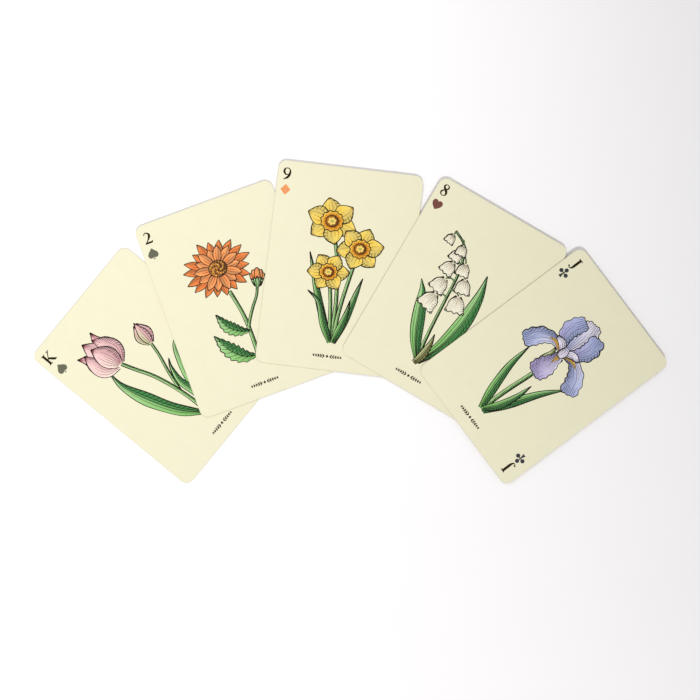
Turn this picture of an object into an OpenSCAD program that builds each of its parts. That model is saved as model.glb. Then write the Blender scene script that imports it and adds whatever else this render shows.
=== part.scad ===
// Fan of five loose playing cards, laid face up on a table.
// The king lies at the bottom, and the two, nine, eight and jack each lie on the card before.
// Every card is a laminate: a back sheet, a thin opaque glue core and a face sheet.
// A card slides over the one below it about its own pole, the point that carries it square onto that card.

/* [Card] */
// Width of a card
card_w = 63; // [45:0.5:90]
// Height of a card
card_h = 88; // [65:0.5:140]
// Radius of the die-cut corners
corner_r = 3.7; // [1:0.1:8]

/* [Stock] */
// Thickness of the back sheet
back_t = 0.13; // [0.05:0.01:0.4]
// Thickness of the opaque glue core
core_t = 0.04; // [0.01:0.01:0.2]
// Thickness of the face sheet
face_t = 0.13; // [0.05:0.01:0.4]
// Air and ink between one card and the next
air_gap = 0.08; // [0.04:0.01:0.5]

/* [Fan] */
// Distance from the fan's centre to the middle of a card
fan_radius = 106; // [70:1:200]
// Turn from one card's station to the next
fan_pitch = 26; // [8:0.5:40]
// How far the fan is squared up: 0 as laid, 1 a squared packet
squared = 0; // [0:0.05:1]

/* [Hand laid] */
// Swing of each card off its even station in degrees, from the bottom card to the top one
laid_swing = [-0.7, 0.5, 1.4, -0.6, -0.4]; // [-8:0.1:8]
// Reach of each card beyond the fan's radius
laid_reach = [-0.7, -0.3, 1.4, -1.1, 1.3]; // [-8:0.1:8]
// Twist of each card off the ray from the fan's centre, in degrees
laid_twist = [-0.7, -6.4, -8.3, -3.8, -0.8]; // [-15:0.1:15]

/* [Hidden] */
$fn = 48;
CARDS = ["king_of_spades", "two_of_spades", "nine_of_diamonds", "eight_of_hearts", "jack_of_clubs"];
PLIES = ["back_sheet", "core_layer", "face_sheet"];

// Places in the packet, counted from the bottom card
KING = 0;
TWO = 1;
NINE = 2;
EIGHT = 3;
JACK = 4;

// Colours of the stock: cream face, charcoal core, pale back
face_colour = "#F6F1D8";
core_colour = "#3A3A3C";
back_colour = "#EDE6CC";

card_t = back_t + core_t + face_t;
level = card_t + air_gap;
middle_place = (len(CARDS) - 1) / 2;
every_card = [for (i = [0 : len(CARDS) - 1]) i];

// Each card as laid: its bearing from the fan's centre, its own turn and the place of its middle
function bearing(i) = fan_pitch * (middle_place - i) + laid_swing[i];
function turn(i) = bearing(i) + laid_twist[i];
function ray(a) = [-sin(a), cos(a)];
function middle(i) = (fan_radius + laid_reach[i]) * ray(bearing(i));

// Half of a turned card's width and depth along the table's axes
corner_x = card_w / 2 - corner_r;
corner_y = card_h / 2 - corner_r;
function half_x(i) = abs(cos(turn(i))) * corner_x + abs(sin(turn(i))) * corner_y + corner_r;
function half_y(i) = abs(sin(turn(i))) * corner_x + abs(cos(turn(i))) * corner_y + corner_r;
function half_size(i) = [half_x(i), half_y(i)];

// The origin lies under the middle of the laid fan's outer box
low_corners = [for (i = every_card) middle(i) - half_size(i)];
high_corners = [for (i = every_card) middle(i) + half_size(i)];
low = [for (axis = [0, 1]) min([for (c = low_corners) c[axis]])];
high = [for (axis = [0, 1]) max([for (c = high_corners) c[axis]])];
origin = (low + high) / 2;
function place(i) = middle(i) - origin;

// The turn that squares card i onto the card below it, and the pole of that turn
function closing(i) = turn(i - 1) - turn(i);
function quarter_left(v) = [-v.y, v.x];
function pole(i) =
  (place(i) + place(i - 1)) / 2
  + quarter_left(place(i - 1) - place(i)) / (2 * tan(closing(i) / 2));

echo(poles_mm = [for (i = every_card) if (i > KING) pole(i)]);
echo(closing_deg = [for (i = every_card) if (i > KING) closing(i)]);

// A card's outline with its four die-cut corners
module card_outline() {
  square([card_w - 2 * corner_r, card_h], center = true);
  square([card_w, card_h - 2 * corner_r], center = true);
  for (side = [-1, 1], end = [-1, 1])
    translate([side * corner_x, end * corner_y]) circle(corner_r);
}

// Carries its children with card i as the cards under it are squared up
module carried(i) {
  if (i == KING)
    children();
  else
    carried(i - 1)
      translate(pole(i)) rotate(squared * closing(i)) translate(-pole(i))
        children();
}

// One ply of card i, from its own height in the card upward
module ply(i, bottom, thickness) {
  carried(i)
    translate([place(i).x, place(i).y, i * level + bottom])
      rotate(turn(i))
        linear_extrude(thickness) card_outline();
}

module back_sheet(i) { color(back_colour) ply(i, 0, back_t); }
module core_layer(i) { color(core_colour) ply(i, back_t, core_t); }
module face_sheet(i) { color(face_colour) ply(i, back_t + core_t, face_t); }

module king_of_spades_back_sheet() { back_sheet(KING); }
module king_of_spades_core_layer() { core_layer(KING); }
module king_of_spades_face_sheet() { face_sheet(KING); }
module two_of_spades_back_sheet() { back_sheet(TWO); }
module two_of_spades_core_layer() { core_layer(TWO); }
module two_of_spades_face_sheet() { face_sheet(TWO); }
module nine_of_diamonds_back_sheet() { back_sheet(NINE); }
module nine_of_diamonds_core_layer() { core_layer(NINE); }
module nine_of_diamonds_face_sheet() { face_sheet(NINE); }
module eight_of_hearts_back_sheet() { back_sheet(EIGHT); }
module eight_of_hearts_core_layer() { core_layer(EIGHT); }
module eight_of_hearts_face_sheet() { face_sheet(EIGHT); }
module jack_of_clubs_back_sheet() { back_sheet(JACK); }
module jack_of_clubs_core_layer() { core_layer(JACK); }
module jack_of_clubs_face_sheet() { face_sheet(JACK); }

king_of_spades_back_sheet();
king_of_spades_core_layer();
king_of_spades_face_sheet();
two_of_spades_back_sheet();
two_of_spades_core_layer();
two_of_spades_face_sheet();
nine_of_diamonds_back_sheet();
nine_of_diamonds_core_layer();
nine_of_diamonds_face_sheet();
eight_of_hearts_back_sheet();
eight_of_hearts_core_layer();
eight_of_hearts_face_sheet();
jack_of_clubs_back_sheet();
jack_of_clubs_core_layer();
jack_of_clubs_face_sheet();
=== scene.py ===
"""Looks of a fan of five illustrated playing cards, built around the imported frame.

Every print is drawn here as flat shapes with a colour at each point,
in millimetres about the card's middle. The shapes then become thin closed solids
on the card's face, laid over each other as a printer lays inks."""
import math
import random

import bpy
import numpy as np
from mathutils import Euler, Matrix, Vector


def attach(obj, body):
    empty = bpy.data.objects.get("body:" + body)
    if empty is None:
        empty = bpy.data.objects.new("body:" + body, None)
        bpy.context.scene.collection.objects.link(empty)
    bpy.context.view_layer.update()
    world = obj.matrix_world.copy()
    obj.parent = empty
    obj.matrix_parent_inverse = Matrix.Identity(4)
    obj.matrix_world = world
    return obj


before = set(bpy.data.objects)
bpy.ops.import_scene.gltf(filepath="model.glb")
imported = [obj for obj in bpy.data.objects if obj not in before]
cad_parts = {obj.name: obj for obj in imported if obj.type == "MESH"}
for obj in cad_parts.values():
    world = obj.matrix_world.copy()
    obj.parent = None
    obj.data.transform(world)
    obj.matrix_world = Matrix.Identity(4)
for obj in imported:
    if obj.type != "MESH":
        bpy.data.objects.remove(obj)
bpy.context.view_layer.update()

MM = 0.001

# Colours of the print, as on screen, from 0 to 255
INK = (34, 30, 25)
LETTER_INK = (34, 28, 5)
LEAF = (124, 184, 98)
LEAF_TIP = (176, 214, 154)
LEAF_DEEP = (64, 128, 68)
GREEN_LEAF = (LEAF, LEAF_TIP, LEAF_DEEP)
STEM = (168, 204, 140)
STEM_DEEP = (92, 140, 78)

# Widths of the fine lines that run over a petal or leaf, in millimetres
FINE_LINE = 0.26
TIP_LINE = 0.22

# How finely curves are worked out: points to a span of a curve, in a run of values and round a circle
SPAN_POINTS = 24
RUN_POINTS = 80
CIRCLE_POINTS = 33

# The least width of a line, and of each side of a blade, in millimetres
LEAST_LINE = 0.03
LEAST_BLADE = 0.02

# The grid that keeps count of the inks laid over each spot of a card, in millimetres and cells
CELL = 0.4
CELLS = (200, 260)


def smooth(points, count):
    """Points spaced evenly on a smooth curve through the given points."""
    p = np.array(points, float)
    p = np.vstack([2 * p[0] - p[1], p, 2 * p[-1] - p[-2]])
    u = np.linspace(0, 1, SPAN_POINTS)[:, None]
    spans = []
    for a, b, c, d in zip(p, p[1:], p[2:], p[3:]):
        bend = (2 * a - 5 * b + 4 * c - d) * u**2 + (3 * b - a - 3 * c + d) * u**3
        spans.append(b + 0.5 * ((c - a) * u + bend))
    path = np.vstack(spans)
    run = np.concatenate([[0], np.cumsum(np.hypot(*np.diff(path, axis=0).T))])
    even = np.linspace(0, run[-1], count)
    return np.stack([np.interp(even, run, path[:, 0]), np.interp(even, run, path[:, 1])], 1)


def along(values, t):
    """Smooth values at t, through values spaced evenly from 0 to 1."""
    if len(values) == 1:
        return np.full(np.shape(t), float(values[0]))
    curve = smooth(np.stack([np.linspace(0, 1, len(values)), values], 1), RUN_POINTS)
    return np.interp(t, curve[:, 0], curve[:, 1])


def mix(a, b, k):
    """Colours that go from a to b as k goes from 0 to 1."""
    k = np.asarray(k, float)[..., None]
    return np.array(a, float) * (1 - k) + np.array(b, float) * k


def place(points, at=(0, 0), turn=0, size=1, squash=1):
    """Points turned, scaled, flattened and moved to a place."""
    a = math.radians(turn)
    p = np.array(points, float) * size
    x = p[:, 0] * math.cos(a) - p[:, 1] * math.sin(a)
    y = p[:, 0] * math.sin(a) + p[:, 1] * math.cos(a)
    return np.stack([x + at[0], y * squash + at[1]], 1)


def circle(at, radius, squash):
    """A closed ring of points, flattened by squash."""
    a = np.linspace(0, 2 * math.pi, CIRCLE_POINTS)
    return np.stack([at[0] + radius * np.cos(a), at[1] + radius * squash * np.sin(a)], 1)


def ball(at, radius, steps, squash=1.0):
    """A filled round, as a grid three points wide."""
    a = np.linspace(0, math.pi, steps)
    x = radius * np.sin(a)
    y = at[1] - radius * squash * np.cos(a)
    return np.stack([np.stack([at[0] + side * x, y], 1) for side in (-1, 0, 1)], 1)


def lozenge(half_width, half_height, tip=0.03):
    """A filled diamond, as a grid three points wide."""
    rows = (tip, -half_height), (half_width, 0), (tip, half_height)
    return np.array([[(-x, y), (0, y), (x, y)] for x, y in rows])


def stroke(points, widths):
    """A line as a grid two points wide, as broad as widths says from its start to its end."""
    p = np.asarray(points, float)
    d = np.gradient(p, axis=0)
    across = np.stack([-d[:, 1], d[:, 0]], 1) / np.maximum(np.hypot(d[:, 0], d[:, 1]), 1e-9)[:, None]
    half = np.maximum(along(widths, np.linspace(0, 1, len(p))), LEAST_LINE)[:, None] / 2
    return np.stack([p - across * half, p + across * half], 1)


def spaced(count, spread):
    """Places spaced evenly over the width from -spread to spread."""
    return spread * (2 * (np.arange(count) + 0.5) / count - 1)


def rounded(length, notch=0.0, frill=0.0, waves=3):
    """The end of a petal that is round, with a notch or a frill."""
    def cap(s):
        end = length * np.sqrt(np.maximum(0, 1 - np.abs(s) ** 2.2))
        return end - notch * np.exp(-((s / 0.28) ** 2)) + frill * np.cos(waves * math.pi * s)
    return cap


def ruffled(count, depth, phase=0.0):
    """An edge that waves in and out."""
    def edge(s, t):
        return 1 + depth * np.sin(2 * math.pi * (count * t + phase)) * np.abs(s) ** 3
    return edge


def toothed(count, depth):
    """An edge with teeth that point to the tip."""
    def edge(s, t):
        return 1 + depth * (np.minimum(count * t, count - 0.01) % 1 - 0.6) * np.abs(s) ** 2
    return edge


class Blade:
    """A petal, leaf or stem: a bent spine with a width each side.

    t runs from 0 at its root to 1 at its tip, and s from -1 at its right edge to 1 at its left."""

    def __init__(self, spine, widths, cap=None, edge=None, steps=20):
        self.t = np.linspace(0, 1, steps)
        self.cap = cap
        self.edge = edge
        self.spine = smooth(spine, steps)
        d = np.gradient(self.spine, axis=0)
        self.ahead = d / np.hypot(d[:, 0], d[:, 1])[:, None]
        self.width = np.maximum(along(widths, self.t), LEAST_BLADE)

    def at(self, s, t):
        """The points at s and t."""
        s, t = np.broadcast_arrays(np.asarray(s, float), np.asarray(t, float))
        ax, ay = (np.interp(t, self.t, v) for v in self.ahead.T)
        x, y = (np.interp(t, self.t, v) for v in self.spine.T)
        w = np.interp(t, self.t, self.width)
        if self.edge:
            w = w * self.edge(s, t)
        end = self.cap(s) * t**4 if self.cap else 0
        return np.stack([x - ay * w * s + ax * end, y + ax * w * s + ay * end], -1)

    def grid(self, across):
        """The blade as a grid, so many points wide."""
        s = np.linspace(-1, 1, across)
        if self.cap:
            s = np.sin(s * math.pi / 2)
        return self.at(s[None, :], self.t[:, None])

    def fill(self, root, tip, side, across):
        """The blade as a grid with its colours: root to tip, and its right half in a tone of its own."""
        s = np.linspace(-1, 1, across)
        tones = mix(root, tip, self.t**1.2)[:, None]
        return self.grid(across), mix(tones, side, 0.5 - 0.5 * np.tanh(6 * s)[None, :])

    def rim(self, draw, thin=0.34, thick=0.54):
        """The outline, drawn by an uneven hand and thicker on the right side."""
        left = self.at(1.0, self.t)
        right = self.at(-1.0, self.t)[::-1]
        if self.cap:
            round_end = self.at(np.sin(np.linspace(1, -1, 17) * math.pi / 2), 1.0)
            left = np.vstack([left, round_end[1:-1]])
        weights = [weight * draw.uniform(0.7, 1.2) for weight in np.linspace(thin, thick, 12)]
        return [stroke(np.vstack([left, right]), weights)]

    def row(self, s0, t0, s1, t1, width, steps=6):
        """A line on the blade, thinner to its end."""
        u = np.linspace(0, 1, steps)
        path = self.at(s0 + (s1 - s0) * u, np.clip(t0 + (t1 - t0) * u, 0, 1))
        return stroke(path, [width, width * 0.85, width * 0.35])

    def veins(self, draw, count, start=0.05, low=0.4, high=0.8, spread=0.85, width=FINE_LINE):
        """Lines that run up from the root."""
        spots = spaced(count, spread)
        return [self.row(s * 0.8, start, s, draw.uniform(low, high), width) for s in spots]

    def tips(self, draw, count, low=0.74, high=0.9, spread=0.75):
        """Lines that run down from the tip."""
        spots = spaced(count, spread)
        return [self.row(s, 0.98, s, draw.uniform(low, high), TIP_LINE) for s in spots]

    def lengths(self, draw, count, low=0.7, high=0.93, spread=0.8):
        """Lines that run the whole length."""
        spots = spaced(count, spread)
        return [self.row(s, 0.03, s, draw.uniform(low, high), FINE_LINE, 16) for s in spots]

    def ribs(self, count, reach=0.75, climb=0.13):
        """Ribs that branch to both sides of a midrib and climb as they go."""
        rows = []
        for t in np.linspace(0.08, 0.84, count):
            up = t + climb * (1.1 - 0.5 * t)
            rows += [self.row(side * 0.06, t, side * reach, up, FINE_LINE, 5) for side in (1, -1)]
        return rows

    def hatch(self, draw, count, inner=-0.3, outer=-0.95, start=0.06, stop=0.92, slope=0.05, width=0.3):
        """Short strokes that shade one side, each of its own length."""
        rows = []
        for t in np.linspace(start, stop, count):
            end = inner + (outer - inner) * draw.uniform(-0.35, 0.35)
            rows.append(self.row(outer, t, end, t + slope, width, 3))
        return rows


class Sheet:
    """What is printed on one card, in millimetres about the card's middle."""

    def __init__(self, seed, shift=(0, 0)):
        self.draw = random.Random(seed)
        self.shift = np.array(shift, float)
        self.pieces = {}
        self.heap = np.zeros(CELLS, int)

    def cells(self, grid):
        """The cells of the card that a shape covers, and their neighbours."""
        n, m = grid.shape[:2]
        fine = [np.abs(np.diff(grid, axis=axis)).max() / CELL * 1.6 for axis in (0, 1)]
        rows = np.linspace(0, n - 1, 1 + int((n - 1) * max(2, fine[0])))
        cols = np.linspace(0, m - 1, 1 + int((m - 1) * max(1, fine[1])))
        i = np.minimum(rows.astype(int), n - 2)[:, None]
        j = np.minimum(cols.astype(int), m - 2)[None, :]
        u = rows[:, None, None] - i[..., None]
        v = cols[None, :, None] - j[..., None]
        low = grid[i, j] * (1 - u) + grid[i + 1, j] * u
        high = grid[i, j + 1] * (1 - u) + grid[i + 1, j + 1] * u
        inside = (low * (1 - v) + high * v).reshape(-1, 2)
        spots = np.floor(inside / CELL).astype(int) + np.array(CELLS) // 2
        near = np.concatenate([spots + (a, b) for a in (0, 1) for b in (0, 1)])
        return tuple(np.unique(np.clip(near, 0, np.array(CELLS) - 1), axis=0).T)

    def lay(self, piece, shapes):
        """Puts shapes, which share a level, on top of all that they cover."""
        spots = [self.cells(grid) for grid, _ in shapes]
        level = max(self.heap[c].max() for c in spots) + 1
        for (grid, tones), c in zip(shapes, spots):
            self.heap[c] = level
            tones = np.broadcast_to(np.asarray(tones, float), grid.shape[:2] + (3,))
            self.pieces.setdefault(piece, []).append((grid + self.shift, tones, level))

    def lines(self, strokes, inner=(), tone=INK):
        """Ink strokes, with those inside the shape in a tone of their own."""
        self.lay("flower", [(grid, tone) for grid in inner] + [(grid, INK) for grid in strokes])

    def paint(self, blades, root, tip, side=None, across=7):
        """Tints from root to tip, darker on the right half or in the tone given for it."""
        side = 0.8 * np.array(tip) if side is None else side
        self.lay("flower", [b.fill(root, tip, side, across) for b in blades])

    def stem(self, spine, widths, hatching=24, steps=26):
        """A round stem, hatched on its dark side."""
        b = Blade(spine, widths, steps=steps)
        self.paint([b], STEM, STEM, STEM_DEEP, 5)
        self.lines(b.rim(self.draw, 0.3, 0.46) + b.hatch(self.draw, hatching, 0.1, -0.98))
        return b

    def strap_leaf(self, spine, widths, tones=GREEN_LEAF, lines=2, hatching=20, edge=None):
        """A long leaf, folded along its middle, with lines that run along it."""
        b = Blade(spine, widths, edge=edge, steps=26)
        self.paint([b], *tones)
        fold = b.row(0, 0.0, 0, 0.96, 0.4, 16)
        runs = b.rim(self.draw) + b.lengths(self.draw, lines)
        self.lines(runs + b.hatch(self.draw, hatching) + [fold])

    def ribbed_leaf(self, spine, widths, teeth=8):
        """A toothed leaf with a midrib and side ribs."""
        b = Blade(spine, widths, edge=toothed(teeth, 0.36), steps=4 * teeth + 1)
        self.paint([b], *GREEN_LEAF)
        dark = b.hatch(self.draw, 2 * teeth, -0.1, -0.8, slope=0.08)
        self.lines(b.rim(self.draw) + b.ribs(teeth) + dark + [b.row(0, 0.0, 0, 0.97, 0.42, 14)])

    def petal(self, blade, root, tip, veins, tone, hatching=0, low=0.4, high=0.8):
        """A tinted petal with its outline, its veins in a tone of their own, and hatching."""
        self.paint([blade], root, tip, 0.88 * np.array(tip))
        inner = blade.veins(self.draw, veins, low=low, high=high) + blade.tips(self.draw, veins)
        dark = blade.hatch(self.draw, hatching, -0.55, -0.96, 0.1, 0.8)
        self.lines(blade.rim(self.draw) + dark, inner, tone)


def tulip_print(sheet):
    cream, pink, rose, vein = (240, 220, 206), (236, 188, 190), (226, 166, 172), (126, 62, 74)
    leaf = [(-1.2, -30), (4, -19), (8.5, -8), (12, -1), (16, 1.5)]
    sheet.strap_leaf(leaf, [0.6, 2.0, 2.4, 1.6, 0.05])
    sheet.stem([(-1.8, -16), (1.5, -6), (4.6, 2), (6.3, 8)], [0.65, 0.55, 0.5], hatching=22)
    sheet.stem([(-1, -31), (-1.4, -18), (-3.6, -4), (-7, 6), (-9.2, 12.5)], [0.85, 0.75, 0.7, 0.65])
    leaf = [(-1.6, -30), (-8.5, -20), (-13.5, -7), (-16.2, 5), (-15.4, 13)]
    sheet.strap_leaf(leaf, [0.6, 2.3, 2.8, 1.9, 0.05], edge=ruffled(2, 0.08))
    leaf = [(-0.6, -30.5), (2.4, -22), (1.6, -13), (3.6, -6), (6, -2.5)]
    sheet.strap_leaf(leaf, [0.8, 1.8, 1.7, 1.0, 0.05], hatching=16)
    # Bud
    for spine, widths in (
        ([(-0.6, 0), (-2.0, 5), (-0.8, 10.4)], [0.7, 1.7, 2.0, 1.1, 0.04]),
        ([(0.6, 0), (2.0, 5), (0.9, 10.6)], [0.7, 1.7, 2.0, 1.1, 0.04]),
        ([(0, -0.2), (0.1, 5), (0.1, 11.4)], [0.9, 2.0, 2.2, 1.2, 0.04]),
    ):
        sheet.petal(Blade(place(spine, (6.3, 7.6), -8), widths), (190, 200, 148), pink, 3, vein, 7)
    # Bloom, from its back petals to its front one
    for spine, widths, tip, veins, hatching in (
        ([(-1, 1), (-4.8, 8), (-4.6, 13), (-6.4, 17.6)], [1.4, 3.4, 3.5, 2.0, 0.05], rose, 5, 0),
        ([(1, 1), (4.8, 8), (4.6, 13), (6.6, 17.8)], [1.4, 3.4, 3.5, 2.0, 0.05], rose, 5, 0),
        ([(0, 1), (0, 9), (0.3, 18.6)], [1.6, 4.4, 5.0, 3.3, 0.05], pink, 6, 0),
        ([(-0.9, 0), (-5.0, 4.6), (-5.0, 10), (-3.6, 15.6)], [1.2, 2.9, 3.5, 2.5, 0.05], pink, 5, 12),
        ([(0.9, 0), (5.0, 4.6), (5.0, 10), (3.8, 15.8)], [1.2, 2.9, 3.5, 2.5, 0.05], pink, 5, 15),
        ([(0, -0.3), (0.3, 7), (0, 14.2)], [1.4, 3.9, 4.5, 3.2, 0.05], pink, 7, 15),
    ):
        sheet.petal(Blade(place(spine, (-9.3, 12), 14), widths), cream, tip, veins, vein, hatching)


def gerbera_print(sheet):
    deep, mid, pale, vein = (218, 104, 52), (240, 142, 76), (248, 168, 106), (134, 58, 28)
    head, squash, bud = (-3.0, 15.0), 0.9, (10.6, 2.4)
    sheet.stem([(0.6, -28.2), (0.9, -20), (0.6, -8), (-1.6, 4)], [0.9, 0.8, 0.75, 0.7])
    sheet.stem([(0.9, -13), (4.6, -7), (8.6, -1.8), (10.6, 2.6)], [0.6, 0.5, 0.45], hatching=18)
    # Bud in its green cup
    for turn, length in ((-46, 5.2), (10, 5.2), (-32, 6.2), (-4, 6.2), (-18, 6.8)):
        spine = place([(0, 1.2), (0, length * 0.6), (0, length)], bud, turn)
        sheet.petal(Blade(spine, [0.8, 1.2, 0.9], rounded(0.7), steps=9), deep, pale, 2, vein)
    for turn in (-62, 26, -40, 4, -18):
        spine = place([(0, -0.6), (0, 1.8), (0, 3.8)], bud, turn)
        sheet.petal(Blade(spine, [0.6, 1.1, 0.7, 0.04], steps=10), LEAF, LEAF_TIP, 2, INK)
    for spine, widths in (
        ([(0.7, -28), (4.8, -26), (9, -21.4), (12.6, -14)], [0.4, 2.5, 3.3, 2.2, 0.05]),
        ([(0.2, -26), (-5.4, -24.4), (-10.5, -19.5), (-14.6, -12)], [0.4, 2.7, 3.5, 2.4, 0.05]),
        ([(0.8, -15), (-3.8, -13.4), (-8.0, -9.6), (-10.8, -3.6)], [0.3, 2.1, 2.8, 1.9, 0.05]),
    ):
        sheet.ribbed_leaf(spine, widths)
    # Two rings of narrow rays, each drawn in two turns so that neighbours overlap
    for count, length, first, root, tip in ((18, 14.6, 0, deep, mid), (14, 11.0, 8, mid, pale)):
        for turn_about in (0, 1):
            rays = []
            for k in range(turn_about, count, 2):
                turn = 360 * k / count + first + sheet.draw.uniform(-3, 3)
                long = length * sheet.draw.uniform(0.9, 1.05)
                spine = place([(0, 0.15 * long), (0, 0.6 * long), (0, long)], head, turn, 1, squash)
                rays.append(Blade(spine, [0.7, 1.3, 1.75, 1.5, 0.05], steps=12))
            sheet.paint(rays, root, tip)
            veins = [line for b in rays for line in b.veins(sheet.draw, 2, 0.25, 0.6, 0.9, 0.7)]
            sheet.lines([line for b in rays for line in b.rim(sheet.draw, 0.28, 0.42)], veins, vein)
    # Disc of florets, on the spiral that such heads have
    disc = ball(head, 4.0, 15, squash)
    sheet.lay("flower", [(disc, mix((176, 112, 50), (92, 56, 28), np.tile([0, 0.4, 1], (15, 1))))])
    florets = [(stroke(circle(head, 4.0, squash), [0.4]), INK)]
    for k in range(46):
        r = 3.6 * math.sqrt((k + 0.5) / 46)
        a = k * math.pi * (3 - math.sqrt(5))
        spot = (head[0] + r * math.cos(a), head[1] + r * math.sin(a) * squash)
        florets.append((ball(spot, 0.24 + 0.06 * (k % 3), 5), (232, 172, 78) if k % 2 else INK))
    sheet.lay("flower", florets)


def daffodil(sheet, at, size, turn, squash=0.9):
    yellow, pale, vein, fold = (234, 194, 70), (243, 216, 116), (134, 90, 30), (118, 68, 20)
    for k in (0, 120, 240, 60, 180, 300):
        spine = place([(0, 0.12), (0.02, 0.55), (0, 1.0)], at, turn + k, size, squash)
        tepal = Blade(spine, np.array([0.12, 0.30, 0.37, 0.26, 0.02]) * size, steps=16)
        sheet.petal(tepal, yellow, pale, 4, vein, 6, low=0.5, high=0.85)
    # Frilled cup, with its well and stamens
    a = np.linspace(0, 2 * math.pi, 61)
    well = 0.24 * size
    lip = size * (0.43 + 0.03 * np.sin(11 * a))

    def loop(radius):
        return np.stack([at[0] + radius * np.cos(a), at[1] + radius * np.sin(a) * squash], 1)

    lit = 0.5 - 0.5 * np.cos(a - 2.4)
    tones = [
        mix((240, 204, 92), (232, 176, 58), lit),
        mix((230, 166, 52), (218, 144, 40), lit),
        mix((190, 118, 32), (172, 100, 26), lit),
    ]
    cup = np.stack([loop(lip), loop((lip + well) / 2), loop(well)], 1)
    dark_side = np.tile([0, 0.5, 1], (13, 1))
    round_well = ball(at, well, 13, squash), mix((176, 114, 40), (104, 62, 22), dark_side)
    sheet.lay("flower", [(cup, np.stack(tones, 1)), round_well])
    folds = []
    for k in range(26):
        b = 2 * math.pi * k / 26 + sheet.draw.uniform(-0.06, 0.06)
        r = np.linspace(0.95 * well, size * sheet.draw.uniform(0.32, 0.41), 4)
        path = np.stack([at[0] + r * math.cos(b), at[1] + r * math.sin(b) * squash], 1)
        folds.append(stroke(path, [0.26, 0.2, 0.08]))
    sheet.lines([stroke(loop(lip), [0.42]), stroke(loop(well), [0.36])], folds, fold)
    spots = [place([(0.11, 0)], at, 17 + 60 * k, size, squash)[0] for k in range(6)]
    stamens = [(ball(spot, 0.055 * size, 6), (240, 206, 108)) for spot in spots]
    sheet.lay("flower", stamens + [(ball(at, 0.05 * size, 6), (168, 182, 86))])


def daffodil_print(sheet):
    long = [0.8, 1.5, 1.4, 1.0, 0.05]
    sheet.strap_leaf([(-0.6, -32), (-6, -18), (-10.5, -4), (-13.5, 6)], long, hatching=28)
    sheet.strap_leaf([(1.2, -32), (5.5, -20), (8.4, -10), (10.5, -3)], long, hatching=22)
    sheet.stem([(-0.2, -32), (0.2, -14), (-1.6, 4), (-5.2, 20)], [0.8, 0.7, 0.65])
    sheet.stem([(0.8, -32), (2.0, -18), (4.6, -4), (7.6, 9)], [0.8, 0.7, 0.65])
    sheet.stem([(-0.8, -32), (-1.6, -20), (-2.8, -10), (-4.4, -2)], [0.8, 0.7, 0.65], hatching=24)
    short = [0.8, 1.5, 1.3, 0.8, 0.05]
    sheet.strap_leaf([(-0.4, -32), (-4.2, -24), (-7.4, -15), (-12.4, -10.6)], short)
    sheet.strap_leaf([(0.6, -32), (3.4, -25), (5.4, -18), (6.2, -13)], short, hatching=15)
    daffodil(sheet, (-5.6, 20.2), 11.2, 12)
    daffodil(sheet, (7.8, 9.6), 10.4, -18)
    daffodil(sheet, (-4.6, -1.8), 9.2, 34)


def bell(sheet, at, turn, size):
    white, shade, sepia = (242, 237, 216), (220, 211, 186), (112, 94, 78)
    flares = []
    for side in (-1, 1):
        spine = place([(side * 0.05, 0), (side * 0.26, -0.75), (side * 0.62, -1.08)], at, turn, size)
        flares.append(Blade(spine, np.array([0.12, 0.3, 0.26, 0.03]) * size, steps=10))
    sheet.paint(flares, shade, white, shade, 5)
    sheet.lines([line for flare in flares for line in flare.rim(sheet.draw)])
    frilled = rounded(0.10 * size, frill=0.07 * size)
    spine = place([(0, 0), (0, -0.5), (0, -1.0)], at, turn, size)
    cup = Blade(spine, np.array([0.10, 0.40, 0.52, 0.54, 0.60]) * size, frilled, steps=12)
    sheet.paint([cup], shade, white, (230, 223, 200), 9)
    dark = cup.hatch(sheet.draw, 6, 0.6, 0.95, 0.15, 0.85, 0.02, 0.2)
    sheet.lines(cup.rim(sheet.draw) + dark, cup.veins(sheet.draw, 5, 0.08, 0.35, 0.8, 0.8, 0.22), sepia)


def lily_print(sheet):
    leaf = [(-0.4, -31), (5, -20), (8, -7), (8.4, 6), (7, 16)]
    sheet.strap_leaf(leaf, [0.8, 2.6, 3.2, 2.3, 0.05], lines=4, hatching=24)
    spine = [(-1.2, -32), (-2.6, -18), (-3.6, -2), (-4.6, 12), (-8, 22), (-14.6, 26.2)]
    main = sheet.stem(spine, [0.7, 0.62, 0.55, 0.45, 0.34], hatching=44, steps=36)
    leaf = [(-0.8, -31), (-6.4, -22), (-10.6, -12), (-13.8, -4), (-17, 1)]
    sheet.strap_leaf(leaf, [0.8, 2.3, 2.8, 2.0, 0.05], lines=4, hatching=24)
    leaf = [(-1.8, -32), (-0.2, -28), (0.4, -22), (0, -17)]
    papery = (176, 178, 122), (196, 206, 148), (122, 120, 70)
    sheet.strap_leaf(leaf, [0.9, 1.7, 1.5, 0.8, 0.05], papery, hatching=10)
    for k, t in enumerate(np.linspace(0.50, 0.985, 9)):
        p = main.at(0, t)
        side = 1 if k % 2 else -1
        reach = 5.8 - 0.38 * k
        foot = p + np.array([side * reach * 0.82, -0.15 * reach])
        lean = 14 * side
        if k >= 5:
            foot = p + np.array([reach * (0.6 if side > 0 else -0.3), -0.55 * reach])
            lean = 8 * side
        arch = [p, (p + foot) / 2 + np.array([0, 1.0]), foot + np.array([0, 0.2])]
        stalk = Blade(arch, [0.26, 0.22, 0.2], steps=10)
        sheet.paint([stalk], STEM, STEM, STEM_DEEP, 3)
        sheet.lines(stalk.rim(sheet.draw, 0.2, 0.3))
        bell(sheet, foot, lean, 7.0 - 0.4 * k)


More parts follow.
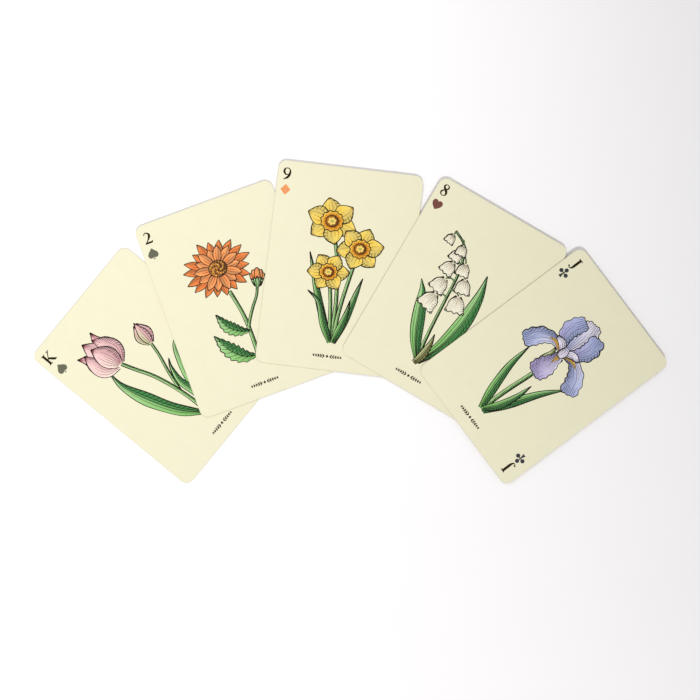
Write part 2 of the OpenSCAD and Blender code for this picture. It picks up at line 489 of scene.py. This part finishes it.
def iris_print(sheet):
    violet, blue, lilac, vein = (180, 168, 208), (168, 178, 216), (232, 226, 238), (62, 53, 96)
    blade = [1.0, 1.9, 1.7, 1.1, 0.05]
    sheet.strap_leaf([(0.4, -32), (5, -20), (9.4, -8), (14.6, 2)], blade, hatching=26)
    sheet.stem([(-0.8, -32), (-0.6, -18), (0.2, -6), (0.8, 8)], [0.95, 0.9, 0.85, 0.8], hatching=34)
    sheet.strap_leaf([(-1.2, -32), (-5.4, -21), (-8.6, -10), (-9.8, 0.4)], blade, hatching=26)
    sheet.strap_leaf([(-0.6, -32), (2.6, -25), (4.2, -17), (4.4, -9)], [0.9, 1.6, 1.4, 0.9, 0.05])
    # Spathe
    papery = (166, 186, 122), (204, 210, 160), (110, 134, 76)
    left = [(-0.4, -4), (-1.8, 1), (-1.6, 6), (-2.8, 9.6)]
    sheet.strap_leaf(left, [0.6, 1.6, 1.5, 0.05], papery, hatching=10)
    right = [(0.6, -4.4), (2.4, 1), (2.4, 5), (3.6, 8.4)]
    sheet.strap_leaf(right, [0.6, 1.7, 1.5, 0.05], papery, hatching=10)

    def petal(spine, widths, root, tip, veins, edge, cap, hatching):
        b = Blade(place(spine, (1, 9.6)), widths, cap, edge, steps=24)
        sheet.petal(b, root, tip, veins, vein, hatching, low=0.45, high=0.9)
        return b

    # Standards
    high = [(0, 1), (0.6, 7), (0.2, 13), (-0.8, 17.6)]
    petal(high, [1.2, 3.6, 5.0, 4.0], blue, lilac, 7, ruffled(5, 0.08), rounded(2.0, 0.5, 0.3, 4), 9)
    wide, frill = [1.0, 2.6, 3.8, 3.4], rounded(1.6, 0.3, 0.3)
    left = [(-0.6, 0.6), (-4.4, 5), (-6.0, 10), (-4.6, 15.4)]
    petal(left, wide, violet, blue, 6, ruffled(5, 0.09), frill, 9)
    right = [(0.6, 0.6), (4.6, 5), (6.4, 10), (5.2, 15.4)]
    petal(right, wide, violet, blue, 6, ruffled(5, 0.09, 0.4), frill, 12)
    # Falls, each with its beard
    wide, frill = [1.1, 2.2, 3.6, 3.8], rounded(2.0, 0.2, 0.3)
    widest, lip = [1.3, 2.6, 4.4, 4.4], rounded(2.2, 0.3, 0.3, 4)
    left = [(-0.4, 0.4), (-6, 1.6), (-11.4, -1.6), (-14.2, -7.4)]
    right = [(0.4, 0.4), (6, 1.8), (11.6, -1.2), (14.6, -6.8)]
    front = [(0, 1.2), (0.2, -3), (0, -8), (-0.6, -12.6)]
    falls = [
        petal(left, wide, lilac, blue, 7, ruffled(5, 0.08), frill, 12),
        petal(right, wide, lilac, blue, 7, ruffled(5, 0.08, 0.3), frill, 12),
        petal(front, widest, lilac, violet, 8, ruffled(5, 0.07), lip, 13),
    ]
    for fall in falls:
        beard = Blade(fall.at(0, np.linspace(0.04, 0.48, 8)), [0.7, 0.9, 0.6, 0.05], steps=12)
        sheet.paint([beard], (222, 152, 52), (244, 214, 108), across=3)
        spots = np.linspace(0.02, 0.86, 11)
        hairs = [beard.row(0, t, out, min(t + 0.12, 1), 0.22, 3) for t in spots for out in (1.5, -1.5)]
        sheet.lines([], hairs, (110, 66, 20))
    # Style arms over the middle
    for spine, widths in (
        ([(-0.4, 0.6), (-3.4, 3.2), (-6.6, 3.4)], [0.9, 1.5, 1.6, 0.8]),
        ([(0.4, 0.6), (3.6, 3.4), (6.8, 3.7)], [0.9, 1.5, 1.6, 0.8]),
        ([(0.0, 3.4), (0.2, 1.4), (0.1, -1.4)], [1.0, 1.7, 1.8, 1.2]),
    ):
        petal(spine, widths, (228, 222, 238), lilac, 3, None, rounded(0.5, 0.25), 6)


# Index letters and figures, in millimetres from the middle of the base line: strokes with their widths
SERIF_STEM = [2.3, 1.15] + [1.05] * 9 + [1.15, 2.3]
LETTERS = {
    "K": (
        ([(-1.33, 0), (-1.33, 5.25)], SERIF_STEM),
        ([(-0.83, 2.25), (0.35, 3.6), (1.5, 4.95)], [0.36, 0.38, 0.46]),
        ([(0.72, 5.1), (2.3, 5.1)], [0.34]),
        ([(-0.5, 2.85), (0.7, 1.4), (2.0, -0.15)], [0.8, 1.0, 1.0]),
        ([(1.0, 0.16), (2.45, 0.16)], [0.34]),
    ),
    "2": (
        (
            [(-1.45, 3.95), (-0.9, 4.75), (0, 4.8), (0.85, 3.85), (0.4, 2.45), (-1.35, 0.45)],
            [0.34, 0.46, 0.68, 1.1, 0.82, 0.48, 0.5],
        ),
        ([(-1.7, 0.36), (0, 0.38), (1.15, 0.42), (1.72, 1.1)], [0.64, 0.84, 0.88, 0.8, 0.22]),
    ),
    "9": (
        (
            [(0.3, 5.14), (-0.35, 5.1), (-1.1, 4.65), (-1.3, 3.5), (-0.6, 2.4), (0.35, 2.4),
             (1.05, 3.0)],
            [0.4, 0.48, 0.85, 0.98, 0.66, 0.36, 0.25],
        ),
        (
            [(-0.3, 5.14), (0.35, 5.1), (1.08, 4.5), (1.25, 3.2), (0.5, 1.35), (-1.45, 0.08)],
            [0.4, 0.48, 0.9, 1.06, 0.82, 0.2],
        ),
    ),
    "8": (
        (
            [(0.35, 5.13), (-0.3, 5.1), (-0.92, 4.6), (-0.75, 3.7), (0.2, 2.85), (1.08, 1.75),
             (0.95, 0.7), (0.3, 0.2), (-0.3, 0.18)],
            [0.35, 0.44, 0.76, 0.96, 1.12, 1.02, 0.76, 0.44, 0.35],
        ),
        (
            [(-0.3, 5.13), (0.35, 5.1), (1.0, 4.6), (0.9, 3.6), (-0.3, 2.65), (-1.2, 1.6),
             (-1.0, 0.65), (-0.35, 0.2), (0.3, 0.18)],
            [0.35, 0.44, 0.68, 0.62, 0.42, 0.7, 0.68, 0.44, 0.35],
        ),
    ),
    "J": (
        (
            [(0.33, 6.1), (0.33, 4.2), (0.33, 2.0), (0.2, 0.95), (-0.15, 0.35), (-0.6, 0.13),
             (-1.0, 0.3)],
            [1.14, 1.14, 1.14, 1.14, 1.14, 1.05, 0.8, 0.52, 0.34],
        ),
        ([(-0.6, 5.98), (1.5, 5.98)], [0.4]),
        ([(-1.25, 0.3), (-1.25, 1.1)], [0.12, 0.7, 0.9, 0.7, 0.12]),
    ),
}


# Suit pips, in millimetres about the middle of each
def lobes(length, notch):
    """The two round lobes of a heart, or of a spade upside down."""
    def cap(s):
        drop = 1 - np.sqrt(np.maximum(0, 1 - (2 * np.abs(s) - 1) ** 2))
        return length - drop * np.where(np.abs(s) < 0.5, notch, length)
    return cap


def spade():
    widths = [0.04, 0.66, 1.38, 2.04, 2.31]
    leaf = Blade([(0, 2.5), (0, 1.05), (0, -0.4)], widths, lobes(1.45, 0.35), steps=14)
    foot = Blade([(0, -2.5), (0, -2.1), (0, -1.6)], [0.46, 0.2, 0.1], steps=8)
    return [leaf.grid(17), foot.grid(3)]


def heart():
    widths = [0.08, 1.0, 1.7, 2.14, 2.33]
    leaf = Blade([(0, -2.13), (0, -0.7), (0, 0.75)], widths, lobes(1.4, 0.6), steps=14)
    return [leaf.grid(17)]


def diamond():
    return [lozenge(2.2, 2.35)]


def club():
    leaves = [ball(spot, 0.92, 13) for spot in ((0, 1.52), (-1.52, -0.2), (1.52, -0.2))]
    arm = stroke([(-1.2, -0.2), (0, -0.12), (1.2, -0.2)], [0.44, 0.36, 0.44])
    neck = stroke([(0, -0.1), (0, 1.0)], [0.44])
    foot = Blade([(0, -2.45), (0, -1.5), (0, 0)], [0.78, 0.42, 0.2], steps=8)
    return leaves + [arm, neck, foot.grid(3)]


SPADE_GREY = (100, 101, 84)

# Where each card's print sits: letter and pip from the card's middle, in millimetres
CARDS = {
    "king_of_spades": dict(
        letter="K", letter_at=(-26.8, 35.12), pip=spade, pip_at=(-26.8, 30.58), tone=SPADE_GREY,
        flower=tulip_print, seed=7,
    ),
    "two_of_spades": dict(
        letter="2", letter_at=(-27.0, 35.33), pip=spade, pip_at=(-27.19, 30.75), tone=SPADE_GREY,
        flower=gerbera_print, seed=8,
    ),
    "nine_of_diamonds": dict(
        letter="9", letter_at=(-27.36, 35.6), pip=diamond, pip_at=(-27.31, 31.44), tone=(231, 150, 95),
        flower=daffodil_print, seed=9,
    ),
    "eight_of_hearts": dict(
        letter="8", letter_at=(-27.56, 36.28), pip=heart, pip_at=(-27.47, 31.75), tone=(117, 71, 62),
        flower=lily_print, seed=10,
    ),
    "jack_of_clubs": dict(
        letter="J", letter_at=(-26.25, 34.55), pip=club, pip_at=(-26.32, 31.54), tone=(58, 60, 66),
        flower=iris_print, seed=11, shift=(-0.6, -0.35),
    ),
}
SPRIG_AT = (-0.8, -38.0)

# The print starts a little inside the face and rises over it, in millimetres
PRINT_SINK = 0.005
PRINT_RISE = 0.06

# Free border of a shape's cell in the map of a print, as a share of the cell
ATLAS_MARGIN = 0.06


def both_ends(grid):
    """A shape of the index, and its copy at the opposite corner."""
    return [grid, -grid]


def print_index(sheet, card):
    """The letter and the pip, at both ends of the card."""
    for points, widths in LETTERS[card["letter"]]:
        grid = stroke(smooth(points, 25), widths)
        grid[..., 1] = np.maximum(grid[..., 1], 0)
        sheet.lay("letters", [(g, LETTER_INK) for g in both_ends(grid + np.array(card["letter_at"]))])
    for grid in card["pip"]():
        sheet.lay("pips", [(g, card["tone"]) for g in both_ends(grid + np.array(card["pip_at"]))])


def print_sprig(sheet):
    """A lozenge between two sprigs of small leaves."""
    shapes = [lozenge(0.6, 0.7)]
    for side in (-1, 1):
        twig = smooth([(side * 1.0, 0), (side * 3.6, 0), (side * 6.4, 0)], 9)
        shapes.append(stroke(twig, [0.2, 0.16]))
        for k in range(5):
            root, size = side * (1.1 + 1.1 * k), 1.1 - 0.12 * k
            for leaf in (-1, 1):
                tip = (root + side * size, leaf * 0.8 * size)
                shapes.append(stroke(smooth([(root, 0), tip], 5), [0.1, 0.5, 0.08]))
    sheet.lay("sprig", [(grid + np.array(SPRIG_AT), LETTER_INK) for grid in shapes])


def linear(tones):
    """Colours as on screen, from 0 to 255, as linear light."""
    c = np.clip(np.asarray(tones, float) / 255, 0, 1)
    return np.where(c <= 0.04045, c / 12.92, ((c + 0.055) / 1.055) ** 2.4)


def card_pose(card):
    """The card's middle, the turn of its long axis and the height of its face, in metres and radians."""
    co = np.array([v.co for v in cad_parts[card + "_face_sheet"].data.vertices])
    middle = (co.min(0) + co.max(0)) / 2
    spread = np.cov(co[:, :2].T)
    axis = np.linalg.eigh(spread)[1][:, 1]
    axis = axis * (1 if axis[1] > 0 else -1)
    return middle[:2], math.atan2(-axis[0], axis[1]), co[:, 2].max()


def slab(grid):
    """Faces of a closed solid over a grid: its top, its underside and its walls."""
    n, m = grid.shape[:2]
    index = np.arange(n * m).reshape(n, m)
    top = np.stack([index[:-1, :-1], index[1:, :-1], index[1:, 1:], index[:-1, 1:]], -1).reshape(-1, 4)
    loop = np.concatenate([index[:, 0], index[-1, 1:], index[-2::-1, -1], index[0, -2:0:-1]])
    after = np.roll(loop, -1)
    walls = np.stack([loop + n * m, after + n * m, after, loop], 1)
    return np.concatenate([top, top[:, ::-1] + n * m, walls])


def face_up(grid, tones):
    """The shape with its grid running the way that turns its top upward."""
    a, b = grid[1:, :-1] - grid[:-1, :-1], grid[:-1, 1:] - grid[:-1, :-1]
    area = (a[..., 0] * b[..., 1] - a[..., 1] * b[..., 0]).sum()
    return (grid, tones) if area > 0 else (grid[:, ::-1], tones[:, ::-1])


def print_piece(name, shapes, levels, pose, material):
    """One object from the shapes: closed solids with a colour at each point.

    Its map has a cell for each shape."""
    middle, turn, face = pose
    side = math.ceil(math.sqrt(len(shapes)))
    points, faces, colours, cells, count = [], [], [], [], 0
    for k, (grid, tones, level) in enumerate(shapes):
        grid, tones = face_up(grid, tones)
        n, m = grid.shape[:2]
        flat = place(grid.reshape(-1, 2), middle / MM, math.degrees(turn)) * MM
        heights = (face + PRINT_RISE * MM * level / levels, face - PRINT_SINK * MM)
        points += [np.column_stack([flat, np.full(n * m, z)]) for z in heights]
        faces.append(slab(grid) + count)
        colours += [linear(tones).reshape(-1, 3)] * 2
        u, v = np.meshgrid(np.linspace(0, 1, m), np.linspace(0, 1, n))
        cell = np.stack([u.ravel(), v.ravel()], 1) * (1 - 2 * ATLAS_MARGIN) + ATLAS_MARGIN
        cells += [(cell + (k % side, k // side)) / side] * 2
        count += 2 * n * m
    mesh = bpy.data.meshes.new(name)
    mesh.from_pydata(np.concatenate(points).tolist(), [], np.concatenate(faces).tolist())
    colours = np.column_stack([np.concatenate(colours), np.ones(count)])
    mesh.attributes.new("paint", "FLOAT_COLOR", "POINT").data.foreach_set("color", colours.ravel())
    corners = np.zeros(len(mesh.loops), int)
    mesh.loops.foreach_get("vertex_index", corners)
    mesh.uv_layers.new(name="OFBake").data.foreach_set("uv", np.concatenate(cells)[corners].ravel())
    mesh.materials.append(material)
    piece = bpy.data.objects.new(name, mesh)
    bpy.context.scene.collection.objects.link(piece)
    return piece


# Colours of the stock and the floor, as on screen under white light
CREAM = (232, 228, 199)
CREAM_DEEP = (228, 223, 194)
CUT_EDGE = (186, 180, 158)
CORE_GREY = (58, 58, 60)
CORE_PALE = (74, 73, 72)
BACK_CREAM = (228, 221, 192)
BACK_GREEN = (116, 146, 112)
BACK_GREEN_PALE = (126, 156, 120)
FLOOR_WHITE = (248, 246, 246)
FLOOR_CLOUD = (246, 244, 245)

# Coated paper: how fine its clouds and fibre are, how far the fibre shows, its gloss and roughness,
# and the relief of its fibre in metres
CLOUD_SCALE = 180
FIBRE_SCALE = 4200
FIBRE_SPECK = 0.12
PAPER_GLOSS = 0.3
PAPER_ROUGHNESS = (0.44, 0.6)
FIBRE_DEPTH = 3e-6

# Glue core: how fine its grain is, and its roughness
CORE_SCALE = 6000
CORE_ROUGHNESS = (0.6, 0.8)

# Ink: how fine its clouds and grain are, how unevenly they lie, its gloss and roughness, its relief
# in metres, and how fine the clouds of the back's ink are
INK_CLOUD_SCALE = 900
INK_GRAIN_SCALE = 5200
INK_CLOUD = (0.86, 1.1)
INK_GRAIN = (-0.06, 0.06)
INK_GLOSS = 0.1
INK_ROUGHNESS = (0.4, 0.56)
INK_DEPTH = 2e-6
BACK_INK_SCALE = 700

# Floor: how fine its clouds are, its gloss and its roughness
FLOOR_CLOUD_SCALE = 30
FLOOR_GLOSS = 0.1
FLOOR_ROUGHNESS = (0.75, 0.85)

# The card's outline in millimetres, and the band of painted shade along it, with its width and grey
# share
CARD_HALF = (31.5, 44)
CORNER_RADIUS = 3.7
PAINTED_SHADE_WIDTH = 0.3
PAINTED_SHADE_GREY = 0.5

# The back's pattern in millimetres: the border up to the panel, the ruled line in it and the lattice
# with its buds
PANEL_FROM = 5.2
RULE_AT = 4.3
RULE_HALF = 0.35
LATTICE_PITCH = 2.2
LATTICE_HALF = 0.3
BUD_FROM = 1.7


def rgba(tone):
    return (*linear(tone), 1.0)


class Finish:
    """A material under construction. Each node is added with the values or sockets of its inputs."""

    def __init__(self, name, **inputs):
        self.material = bpy.data.materials.new(name)
        self.material.use_nodes = True
        self.tree = self.material.node_tree
        self.shader = self.tree.nodes["Principled BSDF"]
        self.set(self.shader, inputs)

    def set(self, node, inputs):
        for key, value in inputs.items():
            socket = node.inputs[key.replace("_", " ") if isinstance(key, str) else key]
            if isinstance(value, bpy.types.NodeSocket):
                self.tree.links.new(value, socket)
            else:
                socket.default_value = value

    def add(self, kind, output=0, inputs=None, **settings):
        node = self.tree.nodes.new(kind)
        for key, value in settings.items():
            setattr(node, key, value)
        self.set(node, inputs or {})
        return node.outputs[output]

    def noise(self, scale, detail=3.0):
        where = self.add("ShaderNodeTexCoord", "Object")
        return self.add("ShaderNodeTexNoise", 0, {"Vector": where, "Scale": scale, "Detail": detail})

    def math(self, operation, a, b=0.0):
        return self.add("ShaderNodeMath", 0, {0: a, 1: b}, operation=operation)

    def span(self, value, low, high):
        """A value from 0 to 1, stretched between low and high."""
        return self.add("ShaderNodeMapRange", 0, {"Value": value, "To Min": low, "To Max": high})

    def blend(self, factor, a, b, blend_type="MIX"):
        sockets = {0: factor, 6: a, 7: b}
        return self.add("ShaderNodeMix", 2, sockets, data_type="RGBA", blend_type=blend_type)

    def cut_edge(self):
        """1 on the cut edge of a sheet, and 0 on its two faces."""
        normal = self.add("ShaderNodeNewGeometry", "True Normal")
        upright = self.add("ShaderNodeSeparateXYZ", "Z", {0: normal})
        return self.math("LESS_THAN", self.math("ABSOLUTE", upright), 0.5)

    def bump(self, height, distance):
        return self.add("ShaderNodeBump", 0, {"Height": height, "Distance": distance})

    def on_card(self, pose):
        """Places in a card's own frame, in millimetres: across it, along it and in from its outline."""
        middle, turn, _ = pose
        where = self.add("ShaderNodeTexCoord", "Object")
        own = {"Vector": where, "Location": (*middle, 0), "Rotation": (0, 0, turn), "Scale": [MM] * 3}
        flat = self.add("ShaderNodeMapping", 0, own, vector_type="TEXTURE")
        x = self.add("ShaderNodeSeparateXYZ", "X", {0: flat})
        y = self.add("ShaderNodeSeparateXYZ", "Y", {0: flat})
        past_x = self.math("SUBTRACT", self.math("ABSOLUTE", x), CARD_HALF[0] - CORNER_RADIUS)
        past_y = self.math("SUBTRACT", self.math("ABSOLUTE", y), CARD_HALF[1] - CORNER_RADIUS)
        squares = [self.math("POWER", self.math("MAXIMUM", past, 0), 2) for past in (past_x, past_y)]
        in_corner = self.math("SQRT", self.math("ADD", *squares))
        in_middle = self.math("MINIMUM", self.math("MAXIMUM", past_x, past_y), 0)
        inset = self.math("SUBTRACT", CORNER_RADIUS, self.math("ADD", in_corner, in_middle))
        return x, y, inset


def face_stock(card, pose):
    """Cream coated paper with faint clouds and fibre, grey where cut, and painted shade along its
    outline.
    """
    f = Finish(card + "_face", Specular_IOR_Level=PAPER_GLOSS)
    _, _, inset = f.on_card(pose)
    # Painted shade: a grey band inside the outline, greyest at the outline itself
    rim = f.span(f.math("DIVIDE", inset, PAINTED_SHADE_WIDTH), PAINTED_SHADE_GREY, 0)
    fibre = f.noise(FIBRE_SCALE)
    tone = f.blend(f.noise(CLOUD_SCALE), rgba(CREAM), rgba(CREAM_DEEP))
    speck = f.blend(f.span(fibre, 0, FIBRE_SPECK), tone, rgba(CREAM_DEEP), "MULTIPLY")
    # The band of painted shade, together with the real grey of the cut edge
    painted_shade_and_cut_edge = f.math("MAXIMUM", rim, f.cut_edge())
    f.set(f.shader, {"Base Color": f.blend(painted_shade_and_cut_edge, speck, rgba(CUT_EDGE))})
    f.set(f.shader, {"Roughness": f.span(fibre, *PAPER_ROUGHNESS)})
    f.set(f.shader, {"Normal": f.bump(fibre, FIBRE_DEPTH)})
    return f.material


def glue_core():
    """Charcoal glue layer that shows as a fine dark line in the card's edge."""
    f = Finish("charcoal_core", Specular_IOR_Level=PAPER_GLOSS)
    grain = f.noise(CORE_SCALE)
    tone = f.blend(grain, rgba(CORE_GREY), rgba(CORE_PALE))
    f.set(f.shader, {"Base Color": tone, "Roughness": f.span(grain, *CORE_ROUGHNESS)})
    f.set(f.shader, {"Normal": f.bump(grain, FIBRE_DEPTH)})
    return f.material


def back_stock(card, pose):
    """Cream border round a green panel with a cream lattice, as card backs have."""
    f = Finish(card + "_back", Specular_IOR_Level=PAPER_GLOSS)
    x, y, inset = f.on_card(pose)
    rising = f.math("PINGPONG", f.math("ADD", x, y), LATTICE_PITCH)
    falling = f.math("PINGPONG", f.math("SUBTRACT", x, y), LATTICE_PITCH)
    from_line = f.math("MINIMUM", rising, falling)
    lattice = f.math("LESS_THAN", from_line, LATTICE_HALF)
    buds = f.math("GREATER_THAN", from_line, BUD_FROM)
    panel = f.math("GREATER_THAN", inset, PANEL_FROM)
    from_rule = f.math("ABSOLUTE", f.math("SUBTRACT", inset, RULE_AT))
    rule = f.math("LESS_THAN", from_rule, RULE_HALF)
    ground = f.math("SUBTRACT", 1.0, f.math("MAXIMUM", lattice, buds))
    green = f.math("MAXIMUM", rule, f.math("MULTIPLY", panel, ground))
    fibre = f.noise(FIBRE_SCALE)
    ink = f.blend(f.noise(BACK_INK_SCALE), rgba(BACK_GREEN), rgba(BACK_GREEN_PALE))
    printed = f.blend(green, rgba(BACK_CREAM), ink)
    f.set(f.shader, {"Base Color": f.blend(f.cut_edge(), printed, rgba(CUT_EDGE))})
    f.set(f.shader, {"Roughness": f.span(fibre, *PAPER_ROUGHNESS)})
    f.set(f.shader, {"Normal": f.bump(fibre, FIBRE_DEPTH)})
    return f.material


def printing_ink():
    """Ink in the colour that each point of a print carries, laid a little unevenly."""
    f = Finish("printing_ink", Specular_IOR_Level=INK_GLOSS)
    paint = f.add("ShaderNodeAttribute", "Color", attribute_name="paint")
    cloud = f.noise(INK_CLOUD_SCALE, detail=4)
    grain = f.noise(INK_GRAIN_SCALE, detail=2)
    lay = f.math("ADD", f.span(cloud, *INK_CLOUD), f.span(grain, *INK_GRAIN))
    even = f.add("ShaderNodeCombineColor", 0, {0: lay, 1: lay, 2: lay})
    tone = f.blend(1.0, paint, even, "MULTIPLY")
    f.set(f.shader, {"Base Color": tone, "Roughness": f.span(grain, *INK_ROUGHNESS)})
    f.set(f.shader, {"Normal": f.bump(grain, INK_DEPTH)})
    return f.material


def pale_floor():
    """Matt white with faint clouds."""
    f = Finish("pale_floor", Specular_IOR_Level=FLOOR_GLOSS)
    cloud = f.noise(FLOOR_CLOUD_SCALE)
    tone = f.blend(cloud, rgba(FLOOR_WHITE), rgba(FLOOR_CLOUD))
    f.set(f.shader, {"Base Color": tone, "Roughness": f.span(cloud, *FLOOR_ROUGHNESS)})
    return f.material


def dress_cards():
    """Gives each card its materials and its prints."""
    core, ink = glue_core(), printing_ink()
    for name, card in CARDS.items():
        pose = card_pose(name)
        face, back = face_stock(name, pose), back_stock(name, pose)
        finishes = {"face_sheet": face, "core_layer": core, "back_sheet": back}
        for ply, finish in finishes.items():
            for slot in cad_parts[f"{name}_{ply}"].material_slots:
                slot.material = finish
        sheet = Sheet(card["seed"], card.get("shift", (0, 0)))
        card["flower"](sheet)
        print_index(sheet, card)
        print_sprig(sheet)
        for piece, shapes in sheet.pieces.items():
            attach(print_piece(f"{name}_{piece}", shapes, sheet.heap.max(), pose, ink), name)


# The camera looks down on the fan, as the photograph was taken: millimetres, degrees and lens
LOOK_AT = (0.44, -12.28, 0)
CAMERA_DISTANCE = 517.0
CAMERA_TILT = (0.601, 0.655)
LENS = 61.57
SENSOR_WIDTH = 36
CLIP_START = 0.01

# The floor's width in metres, and how far it lies under the lowest card in millimetres
FLOOR_SIZE = 16.0
FLOOR_DROP = 0.02

# Lights: places, aims and lamp radii in metres, power in watts, cones in degrees
KEY_AT = (0.1, -0.95, 1.1)
KEY_AIM = (-0.517, -0.189, 0)
KEY_POWER = 56
KEY_CONE = 88.4
KEY_RADIUS = 0.05
FILL_AT = (-0.36, 0.73, 1.3)
FILL_AIM = (-0.175, 0.202, 0)
FILL_POWER = 40.2
FILL_CONE = 30.5
FILL_RADIUS = 0.15
SKY_STRENGTH = 0.5


def add_camera():
    data = bpy.data.cameras.new("camera")
    data.lens = LENS
    data.sensor_width = SENSOR_WIDTH
    data.clip_start = CLIP_START
    data.dof.use_dof = False
    camera = bpy.data.objects.new("camera", data)
    camera.rotation_mode = "YXZ"
    tilt = [math.radians(angle) for angle in CAMERA_TILT]
    camera.rotation_euler = Euler((*tilt, 0), "YXZ")
    back = camera.rotation_euler.to_matrix() @ Vector((0, 0, CAMERA_DISTANCE))
    camera.location = (Vector(LOOK_AT) + back) * MM
    bpy.context.scene.collection.objects.link(camera)
    bpy.context.scene.camera = camera


def add_floor():
    half = FLOOR_SIZE / 2
    mesh = bpy.data.meshes.new("floor")
    square = (-half, -half), (half, -half), (half, half), (-half, half)
    corners = [(x, y, -FLOOR_DROP * MM) for x, y in square]
    mesh.from_pydata(corners, [], [(0, 1, 2, 3)])
    mesh.materials.append(pale_floor())
    floor = bpy.data.objects.new("floor", mesh)
    bpy.context.scene.collection.objects.link(floor)


def add_spot(name, at, aim, power, cone, radius):
    """A spot lamp at one point that looks at another and fades evenly to the rim of its cone."""
    data = bpy.data.lights.new(name, "SPOT")
    data.energy = power
    data.spot_size = math.radians(cone)
    data.spot_blend = 1.0
    data.shadow_soft_size = radius
    light = bpy.data.objects.new(name, data)
    light.location = at
    light.rotation_euler = (Vector(aim) - Vector(at)).to_track_quat("-Z", "Y").to_euler()
    bpy.context.scene.collection.objects.link(light)


def add_lights():
    """A key from the near side that falls off to the right, a steeper fill from behind, and the sky."""
    add_spot("key", KEY_AT, KEY_AIM, KEY_POWER, KEY_CONE, KEY_RADIUS)
    add_spot("fill", FILL_AT, FILL_AIM, FILL_POWER, FILL_CONE, FILL_RADIUS)
    world = bpy.data.worlds.new("sky")
    world.use_nodes = True
    sky = world.node_tree.nodes["Background"]
    sky.inputs["Color"].default_value = (1, 1, 1, 1)
    sky.inputs["Strength"].default_value = SKY_STRENGTH
    bpy.context.scene.world = world
    bpy.context.scene.view_settings.view_transform = "Standard"


add_camera()
add_floor()
add_lights()
dress_cards()
